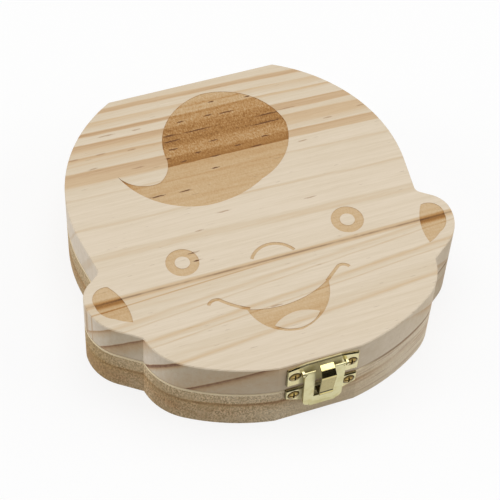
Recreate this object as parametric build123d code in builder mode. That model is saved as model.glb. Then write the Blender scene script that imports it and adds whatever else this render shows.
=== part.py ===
"""A wooden keepsake box for milk teeth, cut to the outline of a baby's head.

A milled pine tray with twenty tooth pockets carries a pine lid on two small brass hinges.
A brass clasp at the chin holds the lid: a swinging frame drops over a bent tongue.
Millimetres. The origin is the centre of the tray's underside, +Z is up, -Y is the chin.
"""

from build123d import *
from math import cos, radians, sin
import os

os.makedirs("parts", exist_ok=True)

# Overall sizes
half_width = 60.1  # from the face's middle to the edge of an ear
half_depth = 58.45  # from the origin to the chin's flat, and to the back's flat
tray_height = 15.6
lid_height = 12.45
overrun = 1.0  # how far a cutting shape runs past the face it opens

# The head's outline, right half, as shares of half_width and half_depth
CHIN_SHARE = (0.437, -0.938)
CHEEK_SHARE = (0.646, -0.829)
NOTCH_SHARE = (0.786, -0.608)
EAR_LOW_SHARE = (0.897, -0.524)
EAR_SIDE_SHARE = (1.0, -0.309)
EAR_TOP_SHARE = (0.94, -0.192)
NECK_SHARE = (0.873, -0.139)
TEMPLE_SHARE = (0.905, 0.092)
BACK_CORNER_SHARE = (0.478, 1.0)
neck_radius = 2.5
tray_arris = 0.8  # the broken edge round the tray's rim
lid_arris = 0.3

# The tray's pockets
tooth_count = 20
tooth_radius = 4.75
tooth_depth = 8.5
arch_half_width = 38.0  # the ring of tooth pockets, centre to centre
arch_half_depth = 40.0
keepsake_length = 38.0
keepsake_width = 23.5
keepsake_depth = 9.0
keepsake_corner = 6.0
keepsake_wall = 3.0  # between the two keepsake pockets

# The hollow in the lid's underside
hollow_width = 88.0
hollow_length = 92.0
hollow_corner = 20.0
hollow_depth = 4.5

# The drawing burnt into the lid
engraving_depth = 0.15
stroke = 1.05  # width of a drawn line
eye_radius = 5.2
pupil_radius = 2.35

# Sheet brass and its fits
sheet = 0.8
running_fit = 0.05  # radial, between a pin and the knuckle that turns on it
sheet_corner = 0.5
plate_bevel = 0.35  # round the front of the clasp's two plates

# Wood screws with raised countersunk heads
screw_fit = 0.03
recess_width = 0.5  # of the cross in a head, as is the depth below
recess_depth = 0.55
recess_reach_share = 0.65  # how far each arm of the cross reaches, of the head's radius
tip_length = 1.5
clasp_head_radius = 1.95
clasp_shank_radius = 1.05
clasp_screw_length = 7.0
hinge_head_radius = 1.6
hinge_shank_radius = 0.85
hinge_screw_length = 6.0
head_crown = 0.5  # how far a clasp screw's head stands above its plate
hinge_head_crown = 0.15

# The clasp, measured up from the seam between tray and lid, and out from the chin's flat
seat_half_width = 13.0  # the flat milled on the chin
clasp_shift = 0.95  # the clasp sits a little right of the face's middle
hasp_half_width = 11.5
hasp_low = 2.4
hasp_end_high = 10.4
hasp_high = 11.6
hasp_shoulder = 5.4  # half the length of the hasp's raised top edge
hasp_screw_spread = 9.0
hasp_screw_high = 6.9
catch_half_width = 11.5
catch_end_low = 4.2
catch_low = 7.0
catch_shoulder = 5.6  # half the length of the catch's bottom edge
catch_screw_spread = 8.9
catch_screw_low = 2.6
frame_stand_off = 0.8  # between the plates and the swinging frame
frame_half_width = 6.5
frame_taper = 0.3  # how much narrower the frame is at its foot, on each side
window_half_width = 3.05
pivot_high = 8.9
frame_bar_low = 7.8  # the frame's foot, below the seam
frame_bar_high = 3.9  # the window's lower edge, below the seam
frame_corner = 2.0
lip_height = 0.9
lip_out = 0.4  # how far the frame's foot curls out for a fingernail
pivot_reach = 0.8  # how far the frame's pivots stand out of its sides
loop_wall = 0.4
loop_gap = 0.1  # between the frame's side and the loop that carries its pivot
tongue_sheet = 0.5
tongue_low = 2.6  # the end of the tongue's foot, below the seam
tongue_shelf_low = 0.9
tongue_bend = 0.55
tongue_lip_out = 4.75
tongue_waist_out = 4.2
tongue_waist_high = 0.4
tongue_knee_out = 5.2
tongue_knee_high = 8.9
tongue_brow_out = 4.0
tongue_brow_high = 10.95
tongue_end_out = 2.3
tongue_end_high = 11.65
tongue_foot_half_width = 2.15
tongue_knee_half_width = 2.35
tongue_end_half_width = 2.05

# The two hinges on the back
hinge_spread = 17.0  # from the middle to each hinge's centre
hinge_width = 16.0
leaf_height = 8.0
hinge_screw_spread = 4.8
hinge_screw_rise = 5.0  # from the seam to the screws' centres
pin_radius = 0.6
knuckle_radius = 1.2
knuckle_off_wood = 0.15
knuckle_gap = 0.15

# Values worked out from the sizes above
seam = tray_height
lid_top = tray_height + lid_height
pin_out = knuckle_radius + knuckle_off_wood
pivot_radius = sheet / 2
frame_back = sheet + frame_stand_off
pivot_out = frame_back + pivot_radius

# Planes: the chin's flat and the back's flat seen from outside, and the two cut from front to back.
# On the cut ones the first direction points away from the wood and the second points up.
chin_flat = Plane(origin=(clasp_shift, -half_depth, seam), x_dir=(1, 0, 0), z_dir=(0, -1, 0))
back_flat = Plane(origin=(0, half_depth, seam), x_dir=(-1, 0, 0), z_dir=(0, 1, 0))
chin_cut = Plane(origin=(clasp_shift, -half_depth, seam), x_dir=(0, -1, 0), z_dir=(-1, 0, 0))
back_cut = Plane(origin=(0, half_depth, seam), x_dir=(0, 1, 0), z_dir=(1, 0, 0))
chin_front = chin_flat.offset(sheet)
back_front = back_flat.offset(sheet)
clasp_middle = Plane.YZ.offset(clasp_shift)


def on_face(share):
    """The point on the head's plan at a share of its half width and half depth."""
    return (share[0] * half_width, share[1] * half_depth)


def save(piece, name):
    """Labels a finished piece and writes it to its own file."""
    piece.part.label = name
    export_step(piece.part, f"parts/{name}.step")


def screw_holes(face, places, head_radius, shank_radius, depth=None):
    """Countersunk holes, from the plane that the screws' rims lie in, through or to a depth."""
    with Locations(face):
        with Locations(*places):
            CounterSinkHole(
                shank_radius + screw_fit, head_radius + screw_fit, depth, counter_sink_angle=90
            )


# The outline that the tray and the lid share
with BuildSketch() as head:
    with BuildLine():
        seat = Line((0, -half_depth), (seat_half_width, -half_depth))
        chin = ThreePointArc(seat @ 1, on_face(CHIN_SHARE), on_face(CHEEK_SHARE))
        cheek = TangentArc(chin @ 1, on_face(NOTCH_SHARE), tangent=chin % 1)
        ear_under = Line(cheek @ 1, on_face(EAR_LOW_SHARE))
        ear_front = TangentArc(ear_under @ 1, on_face(EAR_SIDE_SHARE), tangent=ear_under % 1)
        ear_back = TangentArc(ear_front @ 1, on_face(EAR_TOP_SHARE), tangent=ear_front % 1)
        neck = FilletPolyline(
            ear_back @ 1, on_face(NECK_SHARE), on_face(TEMPLE_SHARE), radius=neck_radius
        )
        crown = TangentArc(neck @ 1, on_face(BACK_CORNER_SHARE), tangent=neck % 1)
        Line(crown @ 1, (0, half_depth))
        mirror(about=Plane.YZ)
    make_face()

# Places of the twenty tooth pockets, evenly round an oval, none on its long or short axis
tooth_step = radians(360 / tooth_count)
tooth_places = [
    (
        arch_half_width * cos((index + 0.5) * tooth_step),
        arch_half_depth * sin((index + 0.5) * tooth_step),
    )
    for index in range(tooth_count)
]

# Places of the screws, on the clasp's front and on a hinge leaf's front
hasp_places = [(-hasp_screw_spread, hasp_screw_high), (hasp_screw_spread, hasp_screw_high)]
catch_places = [(-catch_screw_spread, -catch_screw_low), (catch_screw_spread, -catch_screw_low)]


def leaf_places(across, rise):
    """The two screws of the leaf that lies across from the middle, above or below the seam."""
    return [(end * hinge_screw_spread - across, rise * hinge_screw_rise) for end in (-1, 1)]


# Tray: one block of pine with its pockets and pilot holes
with BuildPart() as tray:
    with BuildSketch():
        add(head.sketch)
    extrude(amount=tray_height)
    chamfer(tray.edges().group_by(Axis.Z)[-1], length=tray_arris)
    with BuildSketch(Plane.XY.offset(tray_height)):
        with Locations(*tooth_places):
            Circle(tooth_radius)
    extrude(amount=-tooth_depth, mode=Mode.SUBTRACT)
    with BuildSketch(Plane.XY.offset(tray_height)):
        with GridLocations(0, keepsake_width + keepsake_wall, 1, 2):
            RectangleRounded(keepsake_length, keepsake_width, keepsake_corner)
    extrude(amount=-keepsake_depth, mode=Mode.SUBTRACT)
    screw_holes(chin_front, catch_places, clasp_head_radius, clasp_shank_radius, clasp_screw_length)
    for across in (-hinge_spread, hinge_spread):
        places = leaf_places(across, -1)
        screw_holes(back_front, places, hinge_head_radius, hinge_shank_radius, hinge_screw_length)
save(tray, "tray")

# The drawing, as shares of the face: a curl of hair, two eyes, a nose, a smile and the ears' insides.
# Each list runs along its outline, every second point being the middle of an arc.
CURL_SHARES = [
    (-0.594, 0.458),
    (-0.506, 0.357),
    (-0.393, 0.343),
    (-0.338, 0.399),
    (-0.309, 0.488),
    (-0.210, 0.774),
    (0.017, 0.899),
    (0.286, 0.790),
    (0.394, 0.548),
    (0.323, 0.350),
    (0.133, 0.201),
    (-0.033, 0.129),
    (-0.208, 0.114),
    (-0.449, 0.223),
    (-0.594, 0.458),
]
EYE_SHARE = (0.453, -0.213)
NOSE_SHARES = [(-0.110, -0.305), (-0.007, -0.240), (0.118, -0.316)]
MOUTH_SHARES = [
    (-0.243, -0.605),
    (-0.042, -0.637),
    (0.213, -0.552),
    (0.160, -0.692),
    (-0.022, -0.810),
    (-0.165, -0.754),
    (-0.243, -0.605),
]
TONGUE_SHARES = [
    (-0.145, -0.745),
    (-0.027, -0.695),
    (0.101, -0.731),
    (-0.010, -0.795),
    (-0.145, -0.745),
]
LEFT_CHEEK_SHARES = [
    (-0.416, -0.519),
    (-0.388, -0.497),
    (-0.356, -0.500),
    (-0.303, -0.553),
    (-0.226, -0.606),
]
RIGHT_CHEEK_SHARES = [
    (0.346, -0.511),
    (0.321, -0.488),
    (0.291, -0.490),
    (0.253, -0.521),
    (0.203, -0.562),
]
EAR_MARK_SHARES = [
    (0.859, -0.242),
    (0.925, -0.254),
    (0.953, -0.341),
    (0.932, -0.408),
    (0.882, -0.449),
    (0.844, -0.477),
    (0.802, -0.497),
    (0.805, -0.367),
    (0.859, -0.242),
]


def arcs(shares):
    """Arcs through the listed places: start, middle, end and middle, end and so on."""
    places = [on_face(share) for share in shares]
    for index in range(0, len(places) - 2, 2):
        ThreePointArc(*places[index : index + 3])


with BuildSketch() as drawing:
    with BuildLine():
        arcs(EAR_MARK_SHARES)
    make_face()
    with Locations(on_face(EYE_SHARE)):
        Circle(eye_radius)
        Circle(pupil_radius, mode=Mode.SUBTRACT)
    mirror(about=Plane.YZ)
    with BuildLine():
        arcs(CURL_SHARES)
    make_face()
    with BuildLine():
        arcs(MOUTH_SHARES)
    make_face()
    with BuildLine():
        arcs(TONGUE_SHARES)
    make_face(mode=Mode.SUBTRACT)
    for stroke_shares in (NOSE_SHARES, LEFT_CHEEK_SHARES, RIGHT_CHEEK_SHARES):
        with BuildLine():
            arcs(stroke_shares)
        trace(line_width=stroke)

# Lid: a pine slab with a shallow hollow below and the drawing burnt into its top
with BuildPart() as lid:
    with BuildSketch(Plane.XY.offset(seam)):
        add(head.sketch)
    extrude(amount=lid_height)
    chamfer(lid.edges().group_by(Axis.Z)[-1], length=lid_arris)
    chamfer(lid.edges().group_by(Axis.Z)[0], length=lid_arris)
    with BuildSketch(Plane.XY.offset(seam)):
        RectangleRounded(hollow_width, hollow_length, hollow_corner)
    extrude(amount=hollow_depth, mode=Mode.SUBTRACT)
    screw_holes(chin_front, hasp_places, clasp_head_radius, clasp_shank_radius, clasp_screw_length)
    for across in (-hinge_spread, hinge_spread):
        places = leaf_places(across, 1)
        screw_holes(back_front, places, hinge_head_radius, hinge_shank_radius, hinge_screw_length)
    with BuildSketch(Plane.XY.offset(lid_top)):
        add(drawing.sketch)
    extrude(amount=-engraving_depth, mode=Mode.SUBTRACT)
save(lid, "lid")


def bevel_front(plate):
    """Breaks the front edges all round a clasp plate, before its holes are cut."""
    front = plate.faces().sort_by(Axis.Y)[0]
    chamfer(front.outer_wire().edges(), length=plate_bevel)


# Hasp plate: the clasp's upper plate, with the two loops that carry the frame's pivots
with BuildPart() as hasp_plate:
    with BuildSketch(chin_flat):
        with BuildLine():
            Polyline(
                (-hasp_half_width, hasp_low),
                (hasp_half_width, hasp_low),
                (hasp_half_width, hasp_end_high),
                (hasp_shoulder, hasp_high),
                (-hasp_shoulder, hasp_high),
                (-hasp_half_width, hasp_end_high),
                close=True,
            )
        hasp_face = make_face()
        columns = hasp_face.vertices().group_by(Axis.X)
        fillet(columns[0] + columns[-1], sheet_corner)
    extrude(amount=sheet)
    bevel_front(hasp_plate)
    screw_holes(chin_front, hasp_places, clasp_head_radius, clasp_shank_radius)
    loop_radius = pivot_radius + running_fit + loop_wall
    with BuildSketch(chin_cut.offset(frame_half_width + loop_gap)):
        with Locations((pivot_out, pivot_high)):
            Circle(loop_radius)
            Rectangle(frame_back, 2 * loop_radius, align=(Align.MAX, Align.CENTER))
            Circle(pivot_radius + running_fit, mode=Mode.SUBTRACT)
    extrude(amount=pivot_reach - loop_gap)
    mirror(about=clasp_middle)
save(hasp_plate, "hasp_plate")

# Catch plate: the clasp's lower plate, screwed to the tray
with BuildPart() as catch_plate:
    with BuildSketch(chin_flat):
        with BuildLine():
            Polyline(
                (-catch_half_width, 0),
                (catch_half_width, 0),
                (catch_half_width, -catch_end_low),
                (catch_shoulder, -catch_low),
                (-catch_shoulder, -catch_low),
                (-catch_half_width, -catch_end_low),
                close=True,
            )
        catch_face = make_face()
        columns = catch_face.vertices().group_by(Axis.X)
        fillet(columns[0] + columns[-1], sheet_corner)
    extrude(amount=sheet)
    bevel_front(catch_plate)
    screw_holes(chin_front, catch_places, clasp_head_radius, clasp_shank_radius)
save(catch_plate, "catch_plate")

# Catch tongue: a springy strip that comes out through the frame's window and stands up in front of it
tongue_foot_out = sheet + tongue_sheet / 2
with BuildPart() as catch_tongue:
    with BuildSketch(chin_cut):
        with BuildLine():
            FilletPolyline(
                (tongue_foot_out, -tongue_low),
                (tongue_foot_out, -tongue_shelf_low),
                (tongue_lip_out, -tongue_shelf_low),
                (tongue_waist_out, tongue_waist_high),
                (tongue_knee_out, tongue_knee_high),
                (tongue_brow_out, tongue_brow_high),
                (tongue_end_out, tongue_end_high),
                radius=tongue_bend,
            )
        trace(line_width=tongue_sheet)
    extrude(amount=tongue_knee_half_width, both=True)
    with BuildSketch(chin_flat):
        with BuildLine():
            Polyline(
                (tongue_foot_half_width, -tongue_low - overrun),
                (tongue_foot_half_width, -tongue_shelf_low),
                (tongue_knee_half_width, tongue_knee_high),
                (tongue_end_half_width, tongue_end_high + overrun),
                (-tongue_end_half_width, tongue_end_high + overrun),
                (-tongue_knee_half_width, tongue_knee_high),
                (-tongue_foot_half_width, -tongue_shelf_low),
                (-tongue_foot_half_width, -tongue_low - overrun),
                close=True,
            )
        make_face()
    extrude(amount=tongue_knee_out + overrun, mode=Mode.INTERSECT)
save(catch_tongue, "catch_tongue")

# Clasp frame: the swinging window, with a pivot at the top of each leg and a curled foot
foot_half_width = frame_half_width - frame_taper
with BuildPart() as clasp_frame:
    with BuildSketch(chin_flat.offset(frame_back)):
        with BuildLine():
            Polyline(
                (-frame_half_width, pivot_high),
                (frame_half_width, pivot_high),
                (foot_half_width, -frame_bar_low),
                (-foot_half_width, -frame_bar_low),
                close=True,
            )
        frame_face = make_face()
        fillet(frame_face.vertices().group_by(Axis.Z)[0], frame_corner)
        with Locations((0, pivot_high)):
            Rectangle(
                2 * window_half_width,
                pivot_high + frame_bar_high,
                align=(Align.CENTER, Align.MAX),
                mode=Mode.SUBTRACT,
            )
    extrude(amount=sheet)
    for start, mode in ((frame_back + sheet, Mode.ADD), (frame_back, Mode.SUBTRACT)):
        with BuildSketch(chin_cut):
            with BuildLine():
                Polyline(
                    (start, lip_height - frame_bar_low),
                    (start + lip_out, -frame_bar_low),
                    (start, -frame_bar_low),
                    close=True,
                )
            make_face()
        extrude(amount=foot_half_width - frame_corner, both=True, mode=mode)
    with BuildSketch(chin_cut.offset(window_half_width)):
        with Locations((pivot_out, pivot_high)):
            Circle(pivot_radius)
    extrude(amount=frame_half_width - window_half_width + pivot_reach)
    mirror(about=clasp_middle)
save(clasp_frame, "clasp_frame")


def wood_screw(head_radius, shank_radius, length, crown):
    """A countersunk wood screw pointing down, its head's rim at z = 0, with a cross in its crown."""
    recess_reach = recess_reach_share * head_radius
    with BuildPart() as screw:
        with BuildSketch(Plane.XZ):
            with BuildLine():
                Polyline(
                    (0, crown),
                    (0, -length),
                    (shank_radius, tip_length - length),
                    (shank_radius, shank_radius - head_radius),
                    (head_radius, 0),
                )
                ThreePointArc((head_radius, 0), (head_radius / 2, 3 * crown / 4), (0, crown))
            make_face()
        revolve(axis=Axis.Z)
        with BuildSketch(Plane.XY.offset(crown)):
            Rectangle(2 * recess_reach, recess_width)
            Rectangle(recess_width, 2 * recess_reach)
        extrude(amount=-recess_depth, mode=Mode.SUBTRACT)
    return screw.part


clasp_screw = wood_screw(clasp_head_radius, clasp_shank_radius, clasp_screw_length, head_crown)
hinge_screw = wood_screw(hinge_head_radius, hinge_shank_radius, hinge_screw_length, hinge_head_crown)

# Clasp screws, two to a plate
for name, places in (("hasp_screws", hasp_places), ("catch_screws", catch_places)):
    with BuildPart() as screws:
        with Locations(chin_front):
            with Locations(*places):
                add(clasp_screw)
    save(screws, name)

# Hinges: on each side a leaf on the tray, a leaf on the lid, the pin and the screws
knuckle_length = (hinge_width - 2 * knuckle_gap) / 3
knuckle_room = knuckle_radius + knuckle_gap
for side, across in (("left", -hinge_spread), ("right", hinge_spread)):
    # The tray's leaf carries the two outer knuckles, the lid's leaf the middle one
    outer = hinge_width / 2 - knuckle_length
    for body, rise, starts in (
        ("tray", -1, (-hinge_width / 2, outer)),
        ("lid", 1, (-knuckle_length / 2,)),
    ):
        edge = Align.MAX if rise < 0 else Align.MIN
        with BuildPart() as leaf:
            with BuildSketch(back_flat):
                with Locations((-across, rise * knuckle_room)):
                    Rectangle(hinge_width, leaf_height - knuckle_room, align=(Align.CENTER, edge))
                for start in starts:
                    with Locations((-across - start - knuckle_length / 2, 0)):
                        Rectangle(knuckle_length, knuckle_room, align=(Align.CENTER, edge))
            extrude(amount=sheet)
            for start in starts:
                with BuildSketch(back_cut.offset(across + start)):
                    with Locations((pin_out, 0)):
                        Circle(knuckle_radius)
                extrude(amount=knuckle_length)
            with BuildSketch(back_cut.offset(across - hinge_width / 2)):
                with Locations((pin_out, 0)):
                    Circle(pin_radius + running_fit)
            extrude(amount=hinge_width, mode=Mode.SUBTRACT)
            screw_holes(back_front, leaf_places(across, rise), hinge_head_radius, hinge_shank_radius)
        save(leaf, f"{body}_leaf_{side}")
        with BuildPart() as screws:
            with Locations(back_front):
                with Locations(*leaf_places(across, rise)):
                    add(hinge_screw)
        save(screws, f"{body}_leaf_screws_{side}")
    with BuildPart() as pin:
        with BuildSketch(back_cut.offset(across - hinge_width / 2)):
            with Locations((pin_out, 0)):
                Circle(pin_radius)
        extrude(amount=hinge_width)
    save(pin, f"hinge_pin_{side}")
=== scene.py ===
"""Dresses the baby tooth box: bare pine with a burnt drawing, pale brass fittings, studio light."""
import math

import bpy
from mathutils import Matrix, Vector


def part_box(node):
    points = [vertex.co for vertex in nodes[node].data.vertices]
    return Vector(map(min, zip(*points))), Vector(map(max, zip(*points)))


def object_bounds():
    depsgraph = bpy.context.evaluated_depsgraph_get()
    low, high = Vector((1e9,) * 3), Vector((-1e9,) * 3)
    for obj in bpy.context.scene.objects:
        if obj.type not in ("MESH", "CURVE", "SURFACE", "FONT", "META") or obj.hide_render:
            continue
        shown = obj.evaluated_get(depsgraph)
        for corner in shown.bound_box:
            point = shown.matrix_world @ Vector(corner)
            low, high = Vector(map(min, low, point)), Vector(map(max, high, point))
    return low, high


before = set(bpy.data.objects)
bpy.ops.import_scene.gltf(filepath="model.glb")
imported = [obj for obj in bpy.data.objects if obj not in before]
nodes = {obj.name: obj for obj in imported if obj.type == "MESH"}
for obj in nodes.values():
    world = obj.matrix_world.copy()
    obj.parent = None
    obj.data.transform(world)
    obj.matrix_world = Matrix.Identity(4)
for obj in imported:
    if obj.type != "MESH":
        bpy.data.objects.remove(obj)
cad_low, cad_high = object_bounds()
scene = bpy.context.scene

MM = 0.001
# Places on the box, in mm
LID_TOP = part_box("lid")[1][2] / MM
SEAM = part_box("lid")[0][2] / MM  # where the lid rests on the tray
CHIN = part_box("hasp_plate")[1][1] / MM  # the chin's flat, where the clasp's plates lie
JOINT = -19.8  # where the lid's two boards meet, along Y, in a glue line
CUT_DEPTH = -0.15  # how deep the drawing is burnt into the lid
CUT_MARGIN = 0.03  # how far from its floor and the lid's top the drawing's colour ends
EDGE_UP = 0.7  # how much a broken edge of 45 degrees faces up

# Growth rings: places in mm across the grain, and how dark the wood is there. A ring is sharp on
# its back side and fades towards the front. The lid is two glued boards. The upper one changes from
# left to right; the lower one shows sharper lines on its sides than on its sanded top. The curl of
# the drawing has its own, stronger lines. The tray's rings lie nearly flat. A span gives the places
# between which a table's ramp is spread.
UPPER_SPAN = (-20, 60)
LEFT_RINGS = [
    (-7, 0.05), (-5.4, 0.2), (-3.6, 0.16), (-2.8, 0.04), (6.5, 0.05), (7.4, 0.26), (8.2, 0.05),
    (19, 0.08), (19.7, 0.24), (20.3, 0.05), (24.2, 0.14), (25.2, 0.36), (29.2, 0.48), (30.1, 0.56),
    (30.5, 0.08), (34.8, 0.28), (36.1, 0.54), (36.5, 0.14), (38.6, 0.3), (41, 0.54), (41.4, 0.7),
    (41.7, 0.06), (44.6, 0.12), (45, 0.52), (46.1, 0.64), (46.4, 0.06), (50.3, 0.34), (50.6, 0.1),
    (53.3, 0.14), (53.7, 0.52), (55.1, 0.48), (55.5, 0.14),
]
RIGHT_RINGS = [
    (-7, 0.05), (-5.9, 0.2), (-3.6, 0.16), (-2.8, 0.04), (6.8, 0.05), (7.6, 0.26), (8.4, 0.05),
    (19.2, 0.08), (19.9, 0.26), (20.4, 0.05), (25.6, 0.08), (26, 0.42), (28.4, 0.46), (28.9, 0.62),
    (29.2, 0.08), (32.5, 0.32), (35.9, 0.44), (36.5, 0.16), (38.3, 0.14), (38.7, 0.48),
    (40.8, 0.46), (41.3, 0.58), (41.6, 0.06), (44.9, 0.14), (46.2, 0.44), (46.6, 0.06),
    (50.3, 0.34), (50.6, 0.1), (53.3, 0.14), (53.7, 0.5), (55.1, 0.46), (55.5, 0.14),
]
LOWER_SPAN = (-75, -16)
LOWER_RINGS = [
    (-75, 0.1), (-58, 0.06), (-52.6, 0.06), (-52.2, 0.13), (-51.6, 0.06), (-48.6, 0.06),
    (-47.8, 0.1), (-47, 0.05), (-45.2, 0.06), (-44.2, 0.34), (-42.8, 0.1), (-41, 0.14), (-38, 0.05),
    (-36.2, 0.06), (-35.9, 0.36), (-35.6, 0.1), (-34.8, 0.12), (-33.6, 0.34), (-32.6, 0.05),
    (-28, 0.05), (-27.7, 0.08), (-27.4, 0.34), (-27.1, 0.08), (-26.4, 0.1), (-25.2, 0.26),
    (-24.2, 0.05), (-22.5, 0.12), (-16, 0.2),
]
SIDE_RINGS = [
    (-75, 0.16), (-66, 0.18), (-60.5, 0.24), (-58.4, 0.42), (-57.3, 0.75), (-56.6, 1),
    (-56.2, 0.28), (-52, 0.22), (-47, 0.12), (-45.6, 0.4), (-44.8, 0.9), (-43.8, 1), (-43.4, 0.06),
    (-40, 0.02), (-37.5, 0.2), (-34, 0.45), (-32.9, 0.75), (-32.4, 0.95), (-32.1, 0.1), (-29, 0.1),
    (-26.2, 0.3), (-25, 0.7), (-24.7, 0.02), (-16, 0.12),
]
CURL_SPAN = (6, 53)
CURL_RINGS = [
    (6, 0.1), (12, 0.12), (17.5, 0.14), (19, 0.16), (19.5, 0.28), (20, 0.12), (24.9, 0.2),
    (25.1, 0.66), (26.5, 0.58), (28.6, 0.54), (29, 0.38), (30.5, 0.36), (32.4, 0.4), (33.4, 0.52),
    (34.4, 0.6), (34.9, 0.68), (35.3, 0.54), (37.4, 0.54), (37.8, 0.64), (38.2, 0.5), (39.6, 0.54),
    (41, 0.5), (41.9, 0.36), (43.5, 0.32), (44.7, 0.34), (45.3, 0.46), (45.8, 0.4), (46.2, 0.16),
    (48.3, 0.16), (48.9, 0.38), (49.4, 0.16), (53, 0.14),
]
TRAY_SPAN = (-6, 22)
TRAY_RINGS = [
    (-6, 0.12), (0, 0.14), (2.5, 0.12), (4.2, 0.2), (6.2, 0.36), (7.2, 0.85), (7.8, 0.7),
    (8.1, 0.2), (9.5, 0.12), (12.5, 0.1), (14, 0.2), (14.3, 0.06), (18, 0.4), (18.6, 0.1),
    (22, 0.2),
]

# Wood colours for a darkness from 0 to 1
SANDED_TONES = [(0, "DFD0BA"), (0.12, "D7C7AE"), (0.35, "CFB592"), (0.65, "BA9670"), (1, "7C573E")]
BURNT_TONES = [(0, "CDB28C"), (0.12, "C6A77D"), (0.35, "B58B58"), (0.6, "9B6C34"), (1, "5C3A1C")]
MILLED_TONES = [(0, "E4D4B9"), (0.12, "DDCAAA"), (0.35, "CEB38D"), (0.65, "B9966F"), (1, "7D5B3C")]

# Resin ducts that show best: short dark dashes along the grain, as X, Y and half their length in mm
DUCTS = [
    (-9, 43, 1.4), (0.5, 43, 1.8), (6.5, 42.5, 2.8), (3.3, 48.4, 1.2), (15.5, 47, 1.2),
    (-14.5, 38.3, 2.2), (-5, 37.9, 4.5), (-14.5, 35.8, 3.2), (17, 34.2, 5.5), (19, 37.6, 4),
    (-1.5, 32, 1.8), (-15, 32.3, 1.8), (-18, 29, 1.3), (-8, 28.6, 1.3), (5.3, 27.6, 1.2),
    (15, 28.7, 1.5), (-13.5, 26.4, 1.2), (11, 25.5, 2.2), (-3, 25.5, 2), (-5, 20.7, 1.6),
    (-17, 14.5, 2), (-26, 15, 3), (-6, -36.7, 2.6), (-22.5, -9.8, 1.8), (-22.5, -13, 1.6),
    (-34, 44.5, 3.4), (-24, 44, 1.8), (-47, 37.5, 2), (-38, 37.4, 2), (-28, 36.2, 1.6),
    (-42, 32.1, 1.8), (-28, 28.3, 2.4), (26, 22.8, 2), (26, 37.9, 3.5), (50, 31.6, 2),
    (37.5, 29.8, 1.8), (-18, -2.2, 1.6), (-8.5, 2.7, 2.6), (19.5, -0.4, 2),
]
DUCT_WIDTH = 0.3  # half a dash's width in mm


def hex_colour(code):
    """An sRGB colour such as C8A070, as linear numbers."""
    linear = []
    for start in (0, 2, 4):
        part = int(code[start : start + 2], 16) / 255
        linear.append(part / 12.92 if part <= 0.04045 else ((part + 0.055) / 1.055) ** 2.4)
    return (*linear, 1.0)


def new_material(name):
    """An empty node material."""
    material = bpy.data.materials.new(name)
    material.use_nodes = True
    material.node_tree.nodes.clear()
    return material


def put(tree, value, socket):
    """Gives an input a number or another node's output."""
    if isinstance(value, bpy.types.NodeSocket):
        tree.links.new(value, socket)
    else:
        socket.default_value = value


def add(tree, kind, links=None, stops=(), **settings):
    """Adds a node with its inputs, as numbers or other nodes' outputs, and a ramp's stops."""
    node = tree.nodes.new(kind)
    for name, value in settings.items():
        setattr(node, name, value)
    for name, value in (links or {}).items():
        put(tree, value, node.inputs[name])
    if stops:
        elements = node.color_ramp.elements
        while len(elements) < len(stops):
            elements.new(1.0)
        for element, (place, colour) in zip(elements, stops):
            element.position = place
            element.color = colour
    return node


def maths(tree, operation, *values):
    """The result of a sum on numbers or sockets."""
    return add(tree, "ShaderNodeMath", dict(enumerate(values)), operation=operation).outputs[0]


def product(tree, first, *others):
    """Numbers or sockets multiplied."""
    for other in others:
        first = maths(tree, "MULTIPLY", first, other)
    return first


def most(tree, first, *others):
    """The greatest of some numbers or sockets."""
    for other in others:
        first = maths(tree, "MAXIMUM", first, other)
    return first


def centred(tree, pattern):
    """A pattern from 0 to 1, moved to lie on both sides of 0."""
    return maths(tree, "SUBTRACT", pattern, 0.5)


def apart(tree, value, place):
    """How far a value is from a place, on either side."""
    return maths(tree, "ABSOLUTE", maths(tree, "SUBTRACT", value, place))


def between(tree, value, low, high, to_low=0.0, to_high=1.0):
    """A value that goes smoothly from to_low to to_high as another goes from low to high."""
    links = {"Value": value, "From Min": low, "From Max": high, "To Min": to_low, "To Max": to_high}
    node = add(tree, "ShaderNodeMapRange", links, interpolation_type="SMOOTHSTEP")
    return node.outputs["Result"]


def blend(tree, factor, first, second, blend_type="MIX"):
    """Two colours mixed."""
    node = add(tree, "ShaderNodeMix", data_type="RGBA", blend_type=blend_type)
    for name, value in (("Factor", factor), ("A", first), ("B", second)):
        put(tree, value, next(part for part in node.inputs if part.name == name and part.enabled))
    return next(part for part in node.outputs if part.enabled)


def paint(tree, colour, factor, code):
    """A colour with an sRGB one over it."""
    return blend(tree, factor, colour, hex_colour(code))


def tinted(tree, colour, amount, shares):
    """A colour made paler by an amount, times a share for each of red, green and blue."""
    parts = [maths(tree, "MULTIPLY_ADD", amount, share, 1) for share in shares]
    tint = add(tree, "ShaderNodeCombineColor", dict(enumerate(parts))).outputs[0]
    return blend(tree, 1.0, colour, tint, "MULTIPLY")


def millimetres(tree, scale=(1, 1, 1), turn=0.0):
    """Object coordinates in mm, stretched and turned for a pattern."""
    links = {
        "Vector": add(tree, "ShaderNodeTexCoord").outputs["Object"],
        "Scale": [part / MM for part in scale],
        "Rotation": (0, 0, turn),
    }
    return add(tree, "ShaderNodeMapping", links).outputs["Vector"]


def position(tree):
    """Where a place is on the box, as X, Y and Z in mm."""
    return add(tree, "ShaderNodeSeparateXYZ", {"Vector": millimetres(tree)}).outputs


def facing(tree):
    """Which way a surface faces: how much to the right, and how much up."""
    normal = add(tree, "ShaderNodeTexCoord").outputs["Normal"]
    parts = add(tree, "ShaderNodeSeparateXYZ", {"Vector": normal}).outputs
    return parts["X"], parts["Z"]


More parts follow.
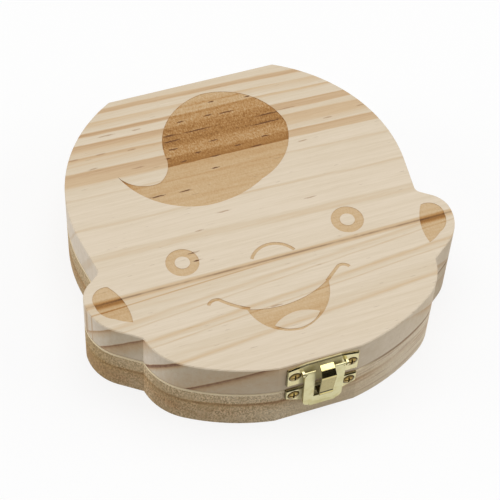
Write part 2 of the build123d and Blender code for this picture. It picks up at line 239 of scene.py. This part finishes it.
def noise(tree, period, detail=2.0, roughness=0.5, turn=0.0, offset=0.0):
    """Cloudy noise from 0 to 1, its lumps about as long as the period in mm along X, Y and Z."""
    place = millimetres(tree, [1 / part for part in period], turn)
    links = {"Vector": place, "Scale": 1.0, "Detail": detail, "Roughness": roughness, "W": offset}
    return add(tree, "ShaderNodeTexNoise", links, noise_dimensions="4D").outputs[0]


def stripes(tree, place, span, table):
    """The growth rings' darkness at a place in mm, by a table of places and darkness."""
    low, high = span
    links = {"Value": place, "From Min": low, "From Max": high}
    share = add(tree, "ShaderNodeMapRange", links).outputs["Result"]
    stops = [((at - low) / (high - low), (dark, dark, dark, 1)) for at, dark in table]
    return add(tree, "ShaderNodeValToRGB", {"Fac": share}, stops=stops).outputs["Color"]


def leaning(tree, x, y, depth, along, down, wander):
    """The place across the grain of rings that slope along the board and lean into it."""
    place = maths(tree, "MULTIPLY_ADD", x, along, y)
    place = maths(tree, "MULTIPLY_ADD", depth, down, place)
    return maths(tree, "ADD", place, wander)


def drift(tree):
    """How far in mm a ring wanders from its place along the grain."""
    wander = product(tree, centred(tree, noise(tree, (55, 20, 20), 2)), 1.2)
    ripple = centred(tree, noise(tree, (9, 1.8, 4), 3))
    return maths(tree, "MULTIPLY_ADD", ripple, 0.7, wander)


def ducts(tree):
    """How near a place is to the middle of a resin duct: 1 in it, 0 outside."""
    here = millimetres(tree)
    nearest = 9.0
    for x, y, half in DUCTS:
        links = {
            "Vector": here,
            "Location": (-x / half, -y / DUCT_WIDTH, 0),
            "Scale": (1 / half, 1 / DUCT_WIDTH, 0),
        }
        place = add(tree, "ShaderNodeMapping", links).outputs["Vector"]
        away = add(tree, "ShaderNodeVectorMath", {0: place}, operation="LENGTH").outputs["Value"]
        nearest = maths(tree, "MINIMUM", nearest, away)
    ragged = centred(tree, noise(tree, (1.4, 0.3, 1), 2, 0.6, offset=21.0))
    return between(tree, maths(tree, "MULTIPLY_ADD", ragged, 2.0, nearest), 0.5, 1.15, 1, 0)


def fibred(tree, rings):
    """Ring darkness with the fibres' streaks on it, and the fibres' height for the bump."""
    streak = noise(tree, (34, 0.9, 2.5), 3, 0.6, offset=6.0)
    fibre = noise(tree, (13, 0.4, 1.2), 4, 0.65)
    fine = noise(tree, (4, 0.2, 0.4), 2, 0.6, offset=3.0)
    dark = rings
    for pattern, strength in ((streak, 0.34), (fibre, 0.24), (fine, 0.14)):
        dark = maths(tree, "ADD", dark, product(tree, centred(tree, pattern), strength))
    return dark, fibre


def toned(tree, dark, tones):
    """Wood colour for a darkness from 0 to 1."""
    stops = [(place, hex_colour(code)) for place, code in tones]
    return add(tree, "ShaderNodeValToRGB", {"Fac": dark}, stops=stops).outputs["Color"]


def surface(tree, height, strength, rise, links):
    """A shader with bump, whose height of 1 stands for the rise in mm, as the material's output."""
    bump_links = {"Height": height, "Strength": strength, "Distance": rise * MM}
    bump = add(tree, "ShaderNodeBump", bump_links).outputs["Normal"]
    shader = add(tree, "ShaderNodeBsdfPrincipled", {**links, "Normal": bump})
    add(tree, "ShaderNodeOutputMaterial", {"Surface": shader.outputs[0]})


def wood_surface(tree, colour, roughness, height, strength):
    """Bare wood's shader."""
    links = {"Base Color": colour, "Roughness": roughness, "Specular IOR Level": 0.3}
    surface(tree, height, strength, 0.15, links)


def lid_rings(tree, x, y, depth, flat, wander):
    """The growth rings of the lid's two boards."""
    place = leaning(tree, x, y, depth, 0.03, 0.6, wander)
    left, right = [stripes(tree, place, UPPER_SPAN, table) for table in (LEFT_RINGS, RIGHT_RINGS)]
    upper = blend(tree, between(tree, x, -10, 10), left, right)

    place = leaning(tree, x, y, depth, -0.08, 0.9, wander)
    top, side = [stripes(tree, place, LOWER_SPAN, table) for table in (LOWER_RINGS, SIDE_RINGS)]
    plain = maths(tree, "ADD", between(tree, x, -5, 25, 1, 0.2), between(tree, x, 28, 44, 0, 0.4))
    lower = blend(tree, flat, product(tree, side, plain), top)
    return blend(tree, between(tree, y, JOINT - 0.1, JOINT + 0.1), lower, upper)


def glue_line(tree, x, y, wander):
    """The lid's glue line: its uneven core, the tan wood around it, and the way in front of it."""
    uneven = between(tree, noise(tree, (11, 6, 6), 3, 0.6, offset=8.0), 0.36, 0.62, 0.3, 1)
    below = maths(tree, "SUBTRACT", JOINT, y)
    from_line = maths(tree, "ABSOLUTE", maths(tree, "MULTIPLY_ADD", wander, 0.15, below))
    core = product(tree, between(tree, from_line, 0.1, 0.5, 1, 0), uneven)
    halo = between(tree, from_line, 0.5, 1.8, 0.4, 0)
    # A thin ring line of the lower board runs into the glue line at a slant
    slant = maths(tree, "MULTIPLY_ADD", x, -0.045, 20.5)
    slant = maths(tree, "ABSOLUTE", maths(tree, "ADD", y, slant))
    slant = product(tree, between(tree, slant, 0.1, 0.45, 0.5, 0), between(tree, below, -0.1, 0.1))
    return core, most(tree, halo, slant), below


def burnt_drawing(tree, x, y, depth, wander, dark, line, below):
    """Scorched wood's colour: grainy at the back, darker by the glue line and at the curl's tip."""
    place = leaning(tree, x, y, depth, 0.015, 0.6, wander)
    curl = fibred(tree, stripes(tree, place, CURL_SPAN, CURL_RINGS))[0]
    dark = blend(tree, between(tree, y, 0, 5), dark, curl)
    speckle = noise(tree, (0.5, 0.9, 0.5), 2, 0.75, turn=math.radians(15), offset=1.0)
    grainy = product(tree, between(tree, y, 24.5, 30, 0.4, 1.3), between(tree, y, 48, 40, 0.6, 1))
    by_line = between(tree, below, -1.4, 0, 0, 0.66)
    by_line = product(tree, by_line, between(tree, below, 0.7, 2.6, 1, 0))
    tip = product(tree, between(tree, x, -28, -35, 0, 0.5), between(tree, y, 17, 26))
    dark = most(tree, dark, by_line)
    for extra in (product(tree, centred(tree, speckle), grainy), product(tree, line, 0.3), tip):
        dark = maths(tree, "ADD", dark, extra)
    return toned(tree, dark, BURNT_TONES)


def make_sanded_pine():
    """The lid: smooth pale pine, tan along its rings; scorched tan to brown inside the drawing."""
    material = new_material("sanded_pine")
    tree = material.node_tree
    x, y, z = position(tree)
    across, up = facing(tree)
    flat = between(tree, maths(tree, "ABSOLUTE", up), 0.2, 0.9)
    depth = maths(tree, "SUBTRACT", z, LID_TOP)
    wander = drift(tree)
    line, around, below = glue_line(tree, x, y, wander)
    rings = most(tree, lid_rings(tree, x, y, depth, flat, wander), around)
    dark, fibre = fibred(tree, rings)

    bare = toned(tree, dark, SANDED_TONES)
    bare = paint(tree, bare, product(tree, line, 0.75), "86694A")
    # Painted light makes faces turned to the left paler; painted shade browns the right end's sides
    bare = tinted(tree, bare, between(tree, across, -0.6, -0.98), (0.14, 0.17, 0.25))
    shaded = product(tree, between(tree, x, 38, 58, 0, 0.6), between(tree, flat, 0.5, 0))
    bare = paint(tree, bare, shaded, "B7A68C")
    # Painted shade on the lid's lower edge and the last of its side; none on its flat underside
    not_under = between(tree, up, -0.9, -0.8)
    under_edge_shade = between(tree, up, -0.5, -0.65, 0, 0.7)
    bare = paint(tree, bare, product(tree, under_edge_shade, not_under), "6E5237")
    low = between(tree, z, SEAM + 0.3, SEAM + 0.7, 0.6, 0)
    bare = paint(tree, bare, product(tree, low, not_under), "8C6546")

    # The drawing's floor and walls lie between the lid's top and the depth of the cut. So does a
    # part of the lid's broken upper edge, which stays bare
    burnt = burnt_drawing(tree, x, y, depth, wander, dark, line, below)
    shallow = maths(tree, "GREATER_THAN", depth, CUT_DEPTH - CUT_MARGIN)
    sunk = maths(tree, "LESS_THAN", depth, -CUT_MARGIN)
    off_edge = maths(tree, "GREATER_THAN", apart(tree, up, EDGE_UP), 0.2)
    cut = product(tree, shallow, sunk, off_edge)
    colour = blend(tree, cut, bare, burnt)

    # Resin ducts: the ones that show best, which the burning brings out, and faint ones all over
    shown = product(tree, ducts(tree), between(tree, up, 0.9, 0.95))
    strength = product(tree, shown, between(tree, cut, 0, 1, 0.6, 0.95))
    resin = blend(tree, cut, hex_colour("9F7A5A"), hex_colour("5A3314"))
    colour = blend(tree, strength, colour, resin)
    faint = noise(tree, (5, 0.32, 0.6), 1, 0.4, offset=7.0)
    colour = paint(tree, colour, between(tree, faint, 0.725, 0.785, 0, 0.5), "8A6A4C")
    wood_surface(tree, colour, 0.6, maths(tree, "MULTIPLY_ADD", rings, 0.5, fibre), 0.25)
    return material


def make_milled_pine():
    """The tray: browner pine, with the cutter's fuzz left on its sides and a bare broken edge."""
    material = new_material("milled_pine")
    tree = material.node_tree
    x, y, z = position(tree)
    up = facing(tree)[1]
    flat = between(tree, maths(tree, "ABSOLUTE", up), 0.2, 0.9)
    place = maths(tree, "ADD", maths(tree, "MULTIPLY_ADD", y, 0.05, z), drift(tree))
    rings = stripes(tree, place, TRAY_SPAN, TRAY_RINGS)
    dark, fibre = fibred(tree, product(tree, rings, between(tree, x, 2, 34, 1, 0.4)))
    colour = toned(tree, dark, MILLED_TONES)
    # The wood is yellow-brown on the left and pale on the right, and shaded at both ends
    for start, end, amount, code in (
        (-5, -40, 0.42, "BC9C68"),
        (5, 34, 0.5, "E8DCC8"),
        (42, 56, 0.75, "B7A68C"),
        (-50, -60, 0.6, "A98A56"),
    ):
        colour = paint(tree, colour, between(tree, x, start, end, 0, amount), code)
    # Flat brown flames on the right, painted shade beside the left ear's notch, and heartwood that
    # stains the lower left orange
    flame = between(tree, noise(tree, (18, 18, 1.1), 2, 0.5, offset=15.0), 0.48, 0.64, 0, 0.45)
    colour = paint(tree, colour, product(tree, flame, between(tree, x, 4, 18)), "A97F5C")
    notch_shade = product(tree, between(tree, x, -36, -45, 0, 0.4), between(tree, y, -38, -41))
    colour = paint(tree, colour, notch_shade, "9A8058")
    patch = between(tree, noise(tree, (9, 9, 5), 3, 0.6, offset=9.0), 0.38, 0.6, 0.4, 1)
    stain = product(tree, between(tree, z, 8.6, 6.6), between(tree, x, -8, -46), patch)
    stain = product(tree, stain, between(tree, z, 0.5, 5, 0.2, 0.5))
    colour = paint(tree, colour, stain, "AB7C4C")
    # Fuzz: short upright tufts, paler at their tips and browner between them, most on the left
    tuft = noise(tree, (0.55, 0.55, 0.9), 2, 0.7, offset=5.0)
    clump = noise(tree, (5, 5, 4), 2, 0.5, offset=12.0)
    side = maths(tree, "SUBTRACT", 1, flat)
    rough = product(tree, side, between(tree, x, 5, -25, 0.18, 1))
    rough = product(tree, rough, between(tree, clump, 0.35, 0.6, 0.55, 1.15))
    shade = product(tree, between(tree, tuft, 0.34, 0.66, -0.36, 0.36), rough)
    colour = tinted(tree, colour, shade, (0.9, 1, 1.2))
    # The broken edge round the rim is clean, pale wood with a painted highlight; on the right the
    # highlight fades and the seam's painted shade lies on it
    from_edge = apart(tree, up, EDGE_UP)
    pale_rim_and_highlight = product(tree, between(tree, from_edge, 0.15, 0.05), between(tree, x, 8, 24, 1, 0.35))
    colour = paint(tree, colour, pale_rim_and_highlight, "FAEAC6")
    shady = product(tree, between(tree, from_edge, 0.15, 0.05, 0, 0.65), between(tree, x, 10, 24))
    colour = paint(tree, colour, shady, "7C5638")
    height = maths(tree, "MULTIPLY_ADD", product(tree, tuft, side), 1.2, fibre)
    wood_surface(tree, colour, 0.75, height, 0.6)
    return material


def before_chin(tree):
    """How far a place is in front of the chin's flat, in mm: the clasp's plates are 0.8 thick."""
    return maths(tree, "SUBTRACT", CHIN, position(tree)["Y"])


def on_plates(tree):
    """1 on the clasp's plates, 0 on the loops and bends that stand out from them."""
    return between(tree, before_chin(tree), 1.0, 0.85)


def polish_haze(tree):
    """How much pale polishing paste dried on the plates behind the frame, where no cloth goes."""
    behind = between(tree, maths(tree, "ABSOLUTE", position(tree)["X"]), 7.0, 6.2)
    return product(tree, behind, on_plates(tree))


def shaded_edge(tree, colour):
    """Painted shade on the plates' left ends, and painted dark reflection on their upper bevels."""
    across, up = facing(tree)
    left = between(tree, position(tree)["X"], -9, -10)
    end = product(tree, between(tree, across, -0.5, -0.65, 0, 0.85), left)
    bevel = product(tree, between(tree, up, 0.4, 0.6, 0, 0.85), between(tree, up, 0.97, 0.9))
    painted_shade = most(tree, end, product(tree, bevel, on_plates(tree)))
    # Painted shade on the ends and painted dark reflection on the bevels
    return paint(tree, colour, painted_shade, "4A3E1E")


def shaded_cross(tree, colour):
    """Painted shade low round a clasp screw's head and in the cross cut in it."""
    # Painted shade, darkest nearest the chin: round the screw's head and in its cross
    return paint(tree, colour, between(tree, before_chin(tree), 0.85, 1.25, 0.95, 0), "33200E")


def worn_shaded_tongue(tree, colour):
    """Tongue: rubbing scratches, a painted brown reflection, painted shade in bends and sides."""
    across, up = facing(tree)
    high = maths(tree, "SUBTRACT", position(tree)["Z"], SEAM)
    # Between waist and knee: rubbing scratches, browned as a painted reflection of the wood
    rubbed_and_reflecting = product(tree, between(tree, high, 8.7, 8.2), between(tree, high, 0.2, 0.6))
    scratches = noise(tree, (0.9, 0.9, 0.9), 3, 0.7, offset=2.0)
    scratched_reflection = blend(tree, scratches, hex_colour("8C7C46"), hex_colour("BAAE76"))
    colour = blend(tree, product(tree, rubbed_and_reflecting, 0.9), colour, scratched_reflection)
    # Painted shade at the waist, below the lip and on the sides; painted dark reflection on the
    # knee
    waist = between(tree, apart(tree, high, 0.5), 0.2, 0.35, 0.95, 0)
    foot = between(tree, high, -0.35, -0.5, 0, 0.9)
    edge = between(tree, maths(tree, "ABSOLUTE", across), 0.7, 0.9, 0, 0.8)
    knee = product(tree, between(tree, up, 0.38, 0.46, 0, 0.85), between(tree, up, 0.64, 0.56))
    return paint(tree, colour, most(tree, waist, foot, edge, knee), "2E2410")


def brass(name, colour, tarnish, roughness, wear_and_shade=None, hazed=None):
    """Plated brass: pale yellow, with faint clouds of tarnish and fine rubbing marks."""
    material = new_material(name)
    tree = material.node_tree
    clouds = noise(tree, (3, 3, 3), 3, 0.6)
    rub = noise(tree, (6, 0.3, 0.3), 2, 0.6, offset=4.0)
    mixed = blend(tree, between(tree, clouds, 0.35, 0.75), hex_colour(colour), hex_colour(tarnish))
    # A finish's own wear together with its painted shade and painted reflection
    if wear_and_shade:
        mixed = wear_and_shade(tree, mixed)
    gloss = between(tree, rub, 0.2, 0.8, roughness - 0.05, roughness + 0.07)
    links = {"Base Color": mixed, "Metallic": 1.0, "Roughness": gloss}
    if hazed:
        haze = hazed(tree)
        links["Metallic"] = maths(tree, "MULTIPLY_ADD", haze, -0.7, 1)
        links["Roughness"] = maths(tree, "MULTIPLY_ADD", haze, 0.3, gloss)
    surface(tree, clouds, 0.1, 0.1, links)
    return material


sanded_pine = make_sanded_pine()
milled_pine = make_milled_pine()
# The clasp's two plates, then the frame, tumbled dull, and the tongue, polished by use
plated_brass = brass("plated_brass", "DED5A8", "CDC08C", 0.27, shaded_edge, hazed=polish_haze)
satin_brass = brass("satin_brass", "D8D2A6", "C8BD86", 0.34)
bright_brass = brass("bright_brass", "D8CC90", "C8B678", 0.12, worn_shaded_tongue)
# The hinges' leaves and pins; the clasp's screws, browner than its plates; the hinges' screws
hinge_brass = brass("hinge_brass", "DDD09A", "CBB878", 0.28)
screw_brass = brass("screw_brass", "C2A864", "96773C", 0.3, shaded_cross)
hinge_screw_brass = brass("hinge_screw_brass", "B7A466", "8D7740", 0.3)

finish_of = {
    "lid": sanded_pine,
    "tray": milled_pine,
    "hasp_plate": plated_brass,
    "catch_plate": plated_brass,
    "clasp_frame": satin_brass,
    "catch_tongue": bright_brass,
    "hasp_screws": screw_brass,
    "catch_screws": screw_brass,
}
for name, node in nodes.items():
    default = hinge_screw_brass if "screws" in name else hinge_brass
    node.data.materials.clear()
    node.data.materials.append(finish_of.get(name, default))

# Camera: the photograph's place and lens, as right, up and backwards directions
CAMERA_PLACE = Vector((-0.1302, -0.30545, 0.4282))
RIGHT = Vector((0.93793, -0.34444, 0.04070))
UP = Vector((0.24693, 0.74555, 0.61904))
BACK = RIGHT.cross(UP)
LENS = 119.5  # mm
SENSOR = 36  # mm
camera = bpy.data.objects.new("camera", bpy.data.cameras.new("camera"))
scene.collection.objects.link(camera)
camera.data.lens = LENS
camera.data.sensor_width = SENSOR
camera.data.clip_end = 20
turned = Matrix((RIGHT, UP, BACK)).transposed().to_4x4()
camera.matrix_world = Matrix.Translation(CAMERA_PLACE) @ turned
scene.camera = camera

AIM = Vector((0, 0, 0.01))  # what the lamps face: the middle of the box


def softbox(name, place, size, power):
    """A square area lamp that faces the box."""
    lamp = bpy.data.lights.new(name, "AREA")
    lamp.size = size
    lamp.energy = power
    lamp_object = bpy.data.objects.new(name, lamp)
    scene.collection.objects.link(lamp_object)
    lamp_object.location = place
    lamp_object.rotation_euler = (AIM - Vector(place)).to_track_quat("-Z", "Y").to_euler()


softbox("overhead", (0.0, 0.1, 1.0), 1.0, 5.6)
softbox("left_box", (-1.1, 0.35, 0.5), 0.8, 4.8)
softbox("right_box", (1.02, -0.36, 0.5), 0.8, 5.3)


def sheet(name, size, place, tilt=0.0):
    """A flat square sheet, tilted about X."""
    bpy.ops.object.select_all(action="DESELECT")
    bpy.ops.mesh.primitive_plane_add(size=size, location=place, rotation=(tilt, 0, 0))
    bpy.context.object.name = name
    return bpy.context.object


def diffuse(tree, red, green, blue):
    """A matt shader."""
    return add(tree, "ShaderNodeBsdfDiffuse", {"Color": (red, green, blue, 1)}).outputs[0]


def seen_ray(tree):
    """1 for what the camera sees, also mirrored or through glass; 0 for light on its way."""
    path = add(tree, "ShaderNodeLightPath").outputs
    return most(tree, path["Is Camera Ray"], path["Is Glossy Ray"], path["Is Transmission Ray"])


# A dark flag in front, seen only in the metal: it draws the black lines along the clasp's bends
flag = sheet("dark_flag", 1, (0.2, -1.25, 0.6), math.radians(90))
flag.scale = (2.4, 1.16, 1)
flag.visible_camera = False
flag.visible_diffuse = False
flag.visible_transmission = False
flag.visible_shadow = False
felt = new_material("black_felt")
tree = felt.node_tree
add(tree, "ShaderNodeOutputMaterial", {"Surface": diffuse(tree, 0.01, 0.01, 0.01)})
flag.data.materials.append(felt)

# World: dim for diffuse light, white for what the camera and the metal see
SKY_LIGHT = 0.31
world = bpy.data.worlds.new("world")
scene.world = world
world.use_nodes = True
world.node_tree.nodes.clear()
tree = world.node_tree
strength = maths(tree, "ADD", product(tree, seen_ray(tree), 1 - SKY_LIGHT), SKY_LIGHT)
sky = add(tree, "ShaderNodeBackground", {"Color": (1, 1, 1, 1), "Strength": strength})
add(tree, "ShaderNodeOutputWorld", {"Surface": sky.outputs[0]})

# Floor: white paper; what it bounces onto the box is held back, what the camera sees keeps the
# box's shadow
FLOOR_GAP = 0.00005  # below the box's foot
PAPER_GLOW = 0.8  # how much of the seen paper is evenly white
floor = sheet("floor", 6, (0, 0, cad_low[2] - FLOOR_GAP))
paper = new_material("white_paper")
tree = paper.node_tree
bounce = diffuse(tree, 0.5, 0.48, 0.45)
shadowed = diffuse(tree, 0.95, 0.95, 0.95)
white = add(tree, "ShaderNodeEmission", {"Color": (1, 1, 1, 1), "Strength": 1.0}).outputs[0]
lit = add(tree, "ShaderNodeMixShader", {0: PAPER_GLOW, 1: shadowed, 2: white}).outputs[0]
both = add(tree, "ShaderNodeMixShader", {0: seen_ray(tree), 1: bounce, 2: lit}).outputs[0]
add(tree, "ShaderNodeOutputMaterial", {"Surface": both})
floor.data.materials.append(paper)

scene.view_settings.view_transform = "Standard"
